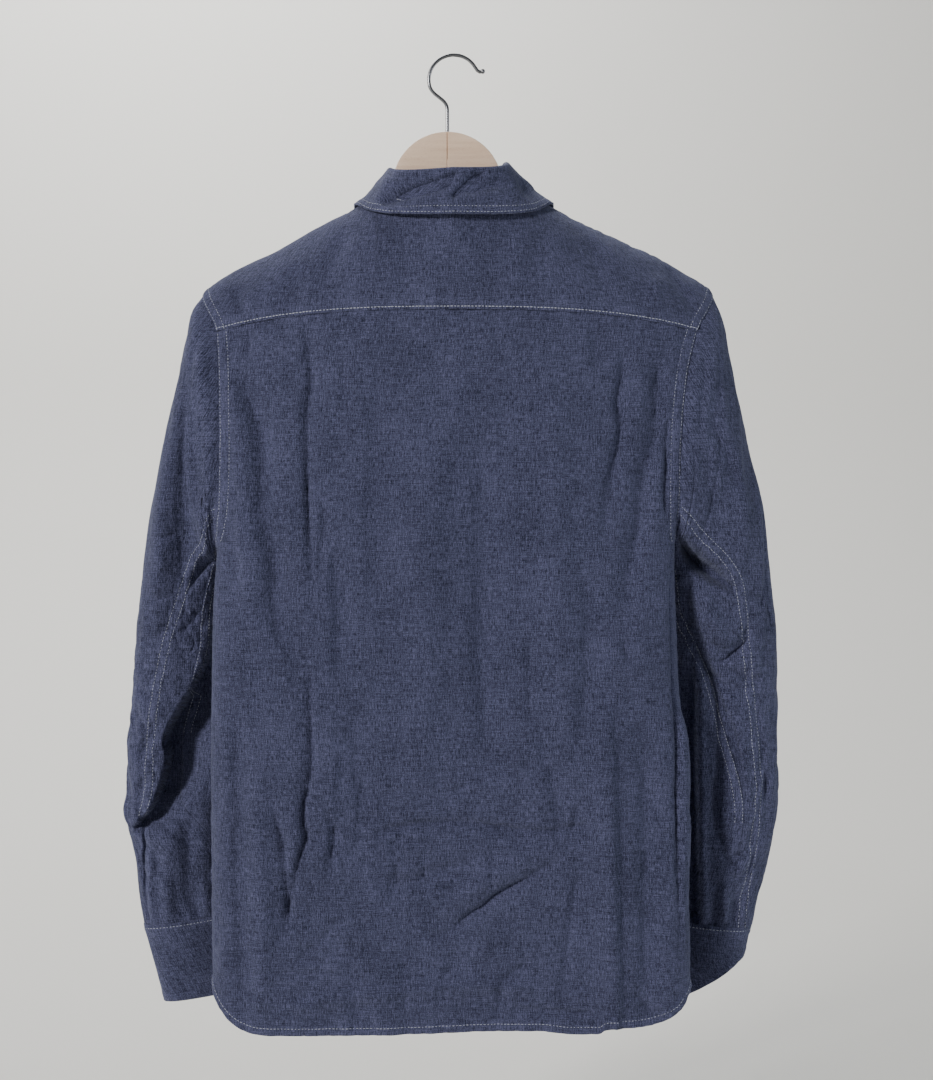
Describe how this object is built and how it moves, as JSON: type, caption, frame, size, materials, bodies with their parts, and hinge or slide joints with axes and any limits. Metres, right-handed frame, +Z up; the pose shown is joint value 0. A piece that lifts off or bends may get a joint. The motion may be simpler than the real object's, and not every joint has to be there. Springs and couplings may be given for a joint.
{
  "type": "chambray work shirt on wooden hanger",
  "caption": "Long-sleeved chambray work shirt hanging empty and flat on a wooden hanger with a steel-wire hook; fixed collar, buttoned front and curved hem.",
  "frame": {"origin": "inner top of the hanger's hook, where it rests on what holds it", "axes": "+Z up, the shirt's front faces -Y and its back +Y, +X is the wearer's left"},
  "size_m": [0.6132, 0.1366, 0.8857],
  "materials": {
    "chambray": "woven cotton, matt, indigo warp and pale weft",
    "button": "turned, satin",
    "beech": "sanded, satin lacquer",
    "steel_wire": "drawn bright wire"
  },
  "bodies": {
    "root": {"yoke": "chambray", "back": "chambray", "front_left": "chambray", "front_right": "chambray", "placket": "chambray", "sleeve_left_top": "chambray", "sleeve_left_under": "chambray", "sleeve_right_top": "chambray", "sleeve_right_under": "chambray", "cuff_left": "chambray", "cuff_right": "chambray", "collar_stand": "chambray", "collar": "chambray", "button_collar": "button", "button_front_1": "button", "button_front_2": "button", "button_front_3": "button", "button_front_4": "button", "button_front_5": "button", "button_front_6": "button", "button_cuff_left": "button", "button_cuff_right": "button", "hanger_left": "beech", "hanger_right": "beech", "hook": "steel_wire"}
  },
  "joints": []
}
